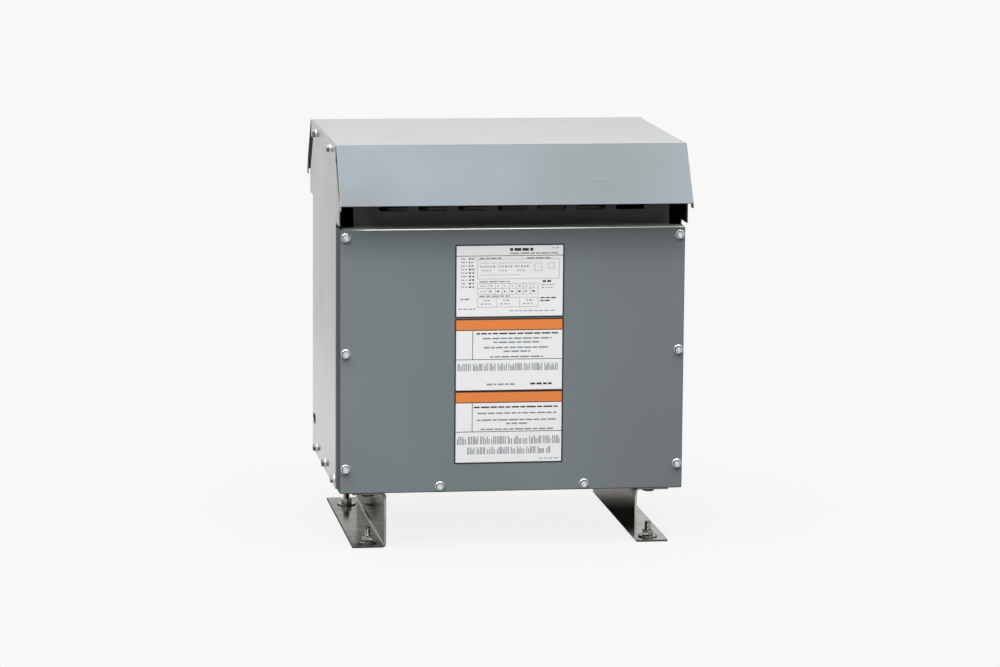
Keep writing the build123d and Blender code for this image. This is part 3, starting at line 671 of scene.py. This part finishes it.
def hex_nut(mesh, placing):
    """A hex nut with both faces turned and a countersunk bore."""
    outline = hexagon(nut_across)
    flat = nut_across / 2
    bore = stud_radius + 0.0001
    upper = chamfered(nut_across, nut_height)

    def lower(angle):
        return nut_height - upper(angle)

    profile = [
        (bore, 0.001), (bore + 0.0006, 0.0), (flat * 0.94, 0.0), (outline, lower), (outline, upper),
        (flat * 0.94, nut_height), (bore + 0.0006, nut_height), (bore, nut_height - 0.001),
    ]
    turned(mesh, profile, placing, capped=False)


up = (0, 0, 1)
foot_spots = screw_spots("foot_nuts", up, nut_height)
foot_nuts = bmesh.new()
for spot in foot_spots:
    hex_nut(foot_nuts, placed(spot, up, math.radians(spin.uniform(-14, 6))))
keep(foot_nuts, "foot_nuts_detailed", [finishes["nut_plating"]], ("foot_nuts",))

foot_washers = bmesh.new()
for spot in screw_spots("foot_washers", up, foot_washer_gauge):
    bore = stud_radius + 0.0001
    edge = 0.0004
    ring = [
        (bore, 0.0), (foot_washer_radius, 0.0), (foot_washer_radius, foot_washer_gauge - edge),
        (foot_washer_radius - edge, foot_washer_gauge), (bore + edge, foot_washer_gauge),
        (bore, foot_washer_gauge - edge),
    ]
    turned(foot_washers, ring, placed(spot, up), capped=False)
keep(foot_washers, "foot_washers_detailed", [finishes["foot_hardware"]],
     ("foot_washers",))

stud_low, stud_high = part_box("foot_studs")
stud_head = 0.007
stud_head_height = 0.0015
foot_studs = bmesh.new()
for spot in foot_spots:
    base = Vector((spot.x, spot.y, stud_low.z))
    turned(foot_studs, [(stud_head, 0.0), (stud_head, stud_head_height)], placed(base, up))
    threaded(foot_studs, stud_radius, thread_pitch, stud_head_height, stud_high.z - stud_low.z,
             placed(base, up))
keep(foot_studs, "foot_studs_detailed", [finishes["foot_hardware"]], ("foot_studs",))


# Stickers: white film with ruled fields, and plain bars and bands in place of print

WHITE, ORANGE, BLACK, GREY = range(4)
sticker_inks = [sticker_white, sticker_orange, sticker_black, sticker_grey]
corner_steps = 6

# Shares of a sticker's width
shortest_bar = 0.01
word_gap = 0.012
stroke_width = 0.0085
stroke_pitches = (0.013, 0.017)


def raised(mesh, outline, back, front, ink):
    """A thin plate on the cover's face, between two distances from it."""
    behind = [mesh.verts.new((x, cover_face - back, z)) for x, z in outline]
    ahead = [mesh.verts.new((x, cover_face - front, z)) for x, z in outline]
    faces = [mesh.faces.new(behind), mesh.faces.new(list(reversed(ahead)))]
    for i in range(len(outline)):
        j = (i + 1) % len(outline)
        faces.append(mesh.faces.new((behind[i], ahead[i], ahead[j], behind[j])))
    for face in faces:
        face.material_index = ink


def slab(mesh, box, back, front, ink):
    """A thin block on the cover's face. The box is left, bottom, right and top in metres."""
    left, bottom, right, top = box
    raised(mesh, [(left, bottom), (right, bottom), (right, top), (left, top)], back, front, ink)


def film(mesh, left, bottom):
    """The sticker's film, with rounded corners. What shows of it is the black border."""
    inset = sticker_corner - sticker_border
    low_x, high_x = left + inset, left + sticker_width - inset
    low_z, high_z = bottom + inset, bottom + sticker_height - inset
    middles = ((high_x, high_z, 0), (low_x, high_z, 90), (low_x, low_z, 180), (high_x, low_z, 270))
    outline = []
    for x, z, start in middles:
        for step in range(corner_steps + 1):
            angle = math.radians(start + 90 * step / corner_steps)
            along_x, along_z = sticker_corner * math.cos(angle), sticker_corner * math.sin(angle)
            outline.append((x + along_x, z + along_z))
    raised(mesh, outline, 0.0, sticker_gauge, BLACK)


class Sticker:
    """One sticker. Its print is placed by shares of its width and height, from the upper left."""

    def __init__(self, name, bottom):
        self.name = name
        self.mesh = bmesh.new()
        self.bottom = bottom
        film(self.mesh, sticker_left, bottom)
        self.block(0.0, 0.0, 1.0, 1.0, WHITE, 0)

    def block(self, left, top, right, bottom, ink, layer=1, gauge=ink_gauge):
        """A filled field. Layer 0 is the bare field itself, and layer 1 lies on it."""
        box = (
            sticker_left + left * sticker_width, self.bottom + (1 - bottom) * sticker_height,
            sticker_left + right * sticker_width, self.bottom + (1 - top) * sticker_height,
        )
        back = sticker_gauge + layer * ink_gauge
        slab(self.mesh, box, back, back + gauge, ink)

    def across(self, left, right, level, ink=BLACK, line=fine_rule):
        """A line from left to right."""
        half = line / sticker_height / 2
        self.block(left, level - half, right, level + half, ink)

    def upright(self, place, top, bottom, ink=BLACK, line=fine_rule):
        """A line from top to bottom, a little proud so that it may cross others."""
        half = line / sticker_width / 2
        self.block(place - half, top, place + half, bottom, ink, 1, proud_ink_gauge)

    def frame(self, left, top, right, bottom, ink=BLACK, line=fine_rule):
        """An outlined field."""
        self.across(left, right, top, ink, line)
        self.across(left, right, bottom, ink, line)
        self.upright(left, top, bottom, ink, line)
        self.upright(right, top, bottom, ink, line)

    def bars(self, left, right, level, height, ink, seed, longest=0.09):
        """A row of short bars of uneven length, in place of print."""
        draw = random.Random(seed)
        place = left
        while place < right - shortest_bar:
            length = min(draw.uniform(0.35, 1.0) * longest, right - place)
            self.block(place, level - height / 2, place + length, level + height / 2, ink)
            place += length + word_gap

    def strokes(self, left, right, top, bottom, ink, seed):
        """A row of narrow upright bars in groups, in place of large print."""
        draw = random.Random(seed)
        place = left
        while place < right:
            for _ in range(draw.randint(3, 9)):
                drop = draw.choice((0.0, 0.0, 0.3)) * (bottom - top)
                if place < right:
                    self.block(place, top + drop, place + stroke_width, bottom, ink)
                place += draw.choice(stroke_pitches)
            place += word_gap

    def done(self):
        """Makes the piece."""
        return keep(self.mesh, self.name, sticker_inks)


def data_sticker():
    """The upper sticker: ruled boxes, two tables and short bars."""
    plate = Sticker("data_sticker", sticker_bottoms[0])
    plate.across(0.0, 1.0, 0.142, BLACK, strong_rule)
    plate.bars(0.50, 0.72, 0.055, 0.04, BLACK, 1, 0.07)
    plate.bars(0.50, 0.95, 0.11, 0.018, GREY, 2)
    plate.bars(0.90, 0.965, 0.038, 0.012, GREY, 3, 0.04)
    for row in range(9):
        level = 0.182 + 0.05 * row
        plate.bars(0.045, 0.10, level, 0.014, GREY, 10 + row, 0.05)
        plate.bars(0.115, 0.165, level, 0.02, BLACK, 30 + row, 0.03)
    plate.frame(0.197, 0.19, 0.967, 0.469, GREY)
    plate.bars(0.215, 0.42, 0.178, 0.018, GREY, 4)
    plate.bars(0.66, 0.88, 0.178, 0.018, GREY, 5)
    for column in range(3):
        left = 0.222 + 0.165 * column
        plate.across(left, left + 0.16, 0.245, GREY)
        plate.bars(left, left + 0.14, 0.295, 0.022, GREY, 50 + column, 0.02)
        plate.bars(left + 0.015, left + 0.10, 0.352, 0.016, GREY, 60 + column, 0.02)
    plate.across(0.222, 0.60, 0.415, GREY)
    plate.frame(0.735, 0.25, 0.80, 0.36, GREY)
    plate.frame(0.865, 0.25, 0.92, 0.33, GREY)
    plate.bars(0.215, 0.50, 0.51, 0.016, GREY, 6)
    plate.frame(0.197, 0.535, 0.769, 0.691, GREY)
    plate.across(0.197, 0.769, 0.605, GREY)
    for column in range(7):
        left = 0.2975 + 0.0665 * column
        plate.upright(left, 0.535, 0.691, GREY)
        plate.bars(left + 0.02, left + 0.045, 0.57, 0.02, GREY, 70 + column, 0.02)
        plate.bars(left + 0.015, left + 0.05, 0.648, 0.022, BLACK, 80 + column, 0.03)
    plate.bars(0.225, 0.275, 0.57, 0.014, GREY, 90, 0.04)
    plate.bars(0.225, 0.275, 0.648, 0.014, GREY, 91, 0.04)
    plate.bars(0.215, 0.50, 0.715, 0.016, GREY, 7)
    plate.frame(0.197, 0.735, 0.769, 0.87, GREY)
    for left, right in ((0.197, 0.38), (0.38, 0.595), (0.595, 0.769)):
        plate.upright(right, 0.735, 0.87, GREY)
        plate.bars(left + 0.06, left + 0.12, 0.775, 0.016, GREY, 8, 0.03)
        plate.bars(left + 0.03, left + 0.13, 0.825, 0.014, GREY, 9, 0.04)
    plate.bars(0.81, 0.91, 0.51, 0.03, BLACK, 92, 0.05)
    plate.bars(0.80, 0.92, 0.56, 0.014, GREY, 93, 0.03)
    plate.bars(0.80, 0.92, 0.60, 0.014, GREY, 94, 0.03)
    plate.bars(0.79, 0.935, 0.745, 0.018, BLACK, 95, 0.05)
    plate.bars(0.79, 0.88, 0.785, 0.018, BLACK, 96, 0.05)
    plate.bars(0.04, 0.14, 0.755, 0.02, GREY, 97, 0.05)
    plate.bars(0.02, 0.19, 0.895, 0.014, GREY, 98, 0.05)
    plate.bars(0.50, 0.945, 0.925, 0.012, GREY, 99, 0.06)
    return plate.done()


def banded_sticker(name, bottom, rows, large_rows, small_rows, seed):
    """A lower sticker: a plain orange band, a narrow bare field and rows of bars."""
    sheet = Sticker(name, bottom)
    sheet.block(0.0, 0.0, 1.0, 0.1401, ORANGE)
    sheet.across(0.0, 1.0, 0.146, BLACK, band_rule)
    sheet.upright(0.155, 0.146, 0.563, BLACK, strong_rule)
    sheet.across(0.0, 1.0, 0.563, BLACK, strong_rule)
    for i, (left, right, level) in enumerate(rows):
        sheet.bars(left, right, level, 0.021, BLACK if i == 0 else GREY, seed + 1 + i)
    for i, (left, right, top, low) in enumerate(large_rows):
        sheet.strokes(left, right, top, low, GREY, seed + 20 + i)
    for i, (left, right, level, height, ink) in enumerate(small_rows):
        sheet.bars(left, right, level, height, ink, seed + 40 + i, 0.06)
    return sheet.done()


data_sticker()
banded_sticker(
    "middle_sticker", sticker_bottoms[1],
    ((0.19, 0.96, 0.195), (0.25, 0.90, 0.265), (0.35, 0.80, 0.32), (0.26, 0.88, 0.395),
     (0.45, 0.70, 0.45), (0.32, 0.82, 0.527)),
    ((0.014, 0.967, 0.62, 0.725),),
    ((0.29, 0.56, 0.92, 0.022, GREY), (0.70, 0.905, 0.917, 0.026, BLACK)),
    200,
)
banded_sticker(
    "lower_sticker", sticker_bottoms[2],
    ((0.17, 0.985, 0.213), (0.205, 0.95, 0.30), (0.20, 0.955, 0.397), (0.475, 0.675, 0.45),
     (0.235, 0.92, 0.53)),
    ((0.014, 0.98, 0.63, 0.745), (0.11, 0.89, 0.785, 0.885)),
    ((0.79, 0.975, 0.957, 0.012, GREY),),
    300,
)


# Studio


def seen_directly(tree, ways=("Is Camera Ray", "Is Glossy Ray", "Is Transmission Ray")):
    """1 for what the camera sees straight, mirrored or through glass, and 0 for bounced light."""
    path = tree.nodes.new("ShaderNodeLightPath")
    total = None
    for name in ways:
        if total is None:
            total = path.outputs[name]
            continue
        node = tree.nodes.new("ShaderNodeMath")
        node.operation = "MAXIMUM"
        tree.links.new(total, node.inputs[0])
        tree.links.new(path.outputs[name], node.inputs[1])
        total = node.outputs[0]
    return total


def make_world():
    """A white surround to look at, and a weak even fill on the object."""
    white = (background_white, background_white, background_white, 1.0)
    world = bpy.data.worlds.new("studio")
    bpy.context.scene.world = world
    world.use_nodes = True
    tree = world.node_tree
    shown = tree.nodes["Background"]
    shown.inputs["Color"].default_value = white
    shown.inputs["Strength"].default_value = 1.0
    fill = tree.nodes.new("ShaderNodeBackground")
    fill.inputs["Color"].default_value = fill_colour
    fill.inputs["Strength"].default_value = fill_strength
    choice = tree.nodes.new("ShaderNodeMixShader")
    tree.links.new(seen_directly(tree), choice.inputs[0])
    tree.links.new(fill.outputs[0], choice.inputs[1])
    tree.links.new(shown.outputs[0], choice.inputs[2])
    tree.links.new(choice.outputs[0], tree.nodes["World Output"].inputs["Surface"])


def floor_material():
    """A pale floor that fades into the background and keeps a light shadow near the object."""
    g = Graph("studio_floor")
    tree = g.tree
    white = (background_white, background_white, background_white, 1.0)
    glow = g.add("ShaderNodeEmission", inputs={"Color": white, "Strength": 1.0})
    grain = g.spread(g.noise(3.0, 2.0), 0.99 * floor_tone, 1.01 * floor_tone)
    shadowed = g.add("ShaderNodeBsdfDiffuse", inputs={"Color": grain})
    dim = (floor_bounce, floor_bounce, floor_bounce, 1.0)
    bounce = g.add("ShaderNodeBsdfDiffuse", inputs={"Color": dim})
    mirrored = seen_directly(tree, ("Is Glossy Ray", "Is Transmission Ray"))
    share = g.spread(mirrored, seen_shadow, mirrored_shadow, 0.0, 1.0)
    near = g.spread(g.distance((0.0, 0.0, 0.0)), 1.0, 0.0, 0.35 * shadow_reach, shadow_reach)
    shown_inputs = {0: g.times(share, near), 1: glow.outputs[0], 2: shadowed.outputs[0]}
    shown = g.add("ShaderNodeMixShader", inputs=shown_inputs)
    choice_inputs = {0: seen_directly(tree), 1: bounce.outputs[0], 2: shown.outputs[0]}
    choice = g.add("ShaderNodeMixShader", inputs=choice_inputs)
    tree.links.new(choice.outputs[0], tree.nodes["Material Output"].inputs["Surface"])
    tree.nodes.remove(g.shader)
    return g.material


def make_floor():
    """The floor under the object."""
    half = floor_size / 2
    data = bpy.data.meshes.new("studio_floor")
    corners = [(-half, -half, 0.0), (half, -half, 0.0), (half, half, 0.0), (-half, half, 0.0)]
    data.from_pydata(corners, [], [(0, 1, 2, 3)])
    data.materials.append(floor_material())
    floor = bpy.data.objects.new("studio_floor", data)
    bpy.context.scene.collection.objects.link(floor)


def softbox(name, azimuth, elevation, width, height, radiance, tint):
    """A soft light aimed at the object. Azimuth 0 is in front, and positive is to the right."""
    data = bpy.data.lights.new(name, "AREA")
    data.shape = "RECTANGLE"
    data.size = width
    data.size_y = height
    data.energy = radiance * math.pi * width * height
    data.color = tint
    lamp = bpy.data.objects.new(name, data)
    bpy.context.scene.collection.objects.link(lamp)
    a, e = math.radians(azimuth), math.radians(elevation)
    direction = Vector((math.sin(a) * math.cos(e), -math.cos(a) * math.cos(e), math.sin(e)))
    lamp.location = object_middle + lamp_distance * direction
    lamp.rotation_euler = direction.to_track_quat("Z", "Y").to_euler()


def make_camera():
    """The camera at the photograph's viewing angle."""
    data = bpy.data.cameras.new("camera")
    data.sensor_width = sensor_width
    data.lens = focal_length
    data.clip_end = 200.0
    camera = bpy.data.objects.new("camera", data)
    bpy.context.scene.collection.objects.link(camera)
    heading = Matrix.Rotation(math.radians(-camera_yaw), 4, "Z")
    tilt = Matrix.Rotation(math.radians(90.0 - camera_pitch), 4, "X")
    roll = Matrix.Rotation(math.radians(-camera_roll), 4, "Z")
    camera.matrix_world = Matrix.Translation(camera_place) @ heading @ tilt @ roll
    bpy.context.scene.camera = camera


make_world()
make_floor()
softbox("front_softbox", -12.0, 58.0, 4.2, 3.0, 6.0, neutral)
softbox("left_softbox", -100.0, 48.0, 2.2, 1.8, 3.6, warm)
softbox("right_softbox", 100.0, 48.0, 2.2, 1.8, 3.6, warm)
softbox("rear_softbox", 180.0, 45.0, 2.6, 2.0, 4.0, warmer)
make_camera()
bpy.context.scene.view_settings.view_transform = "Standard"
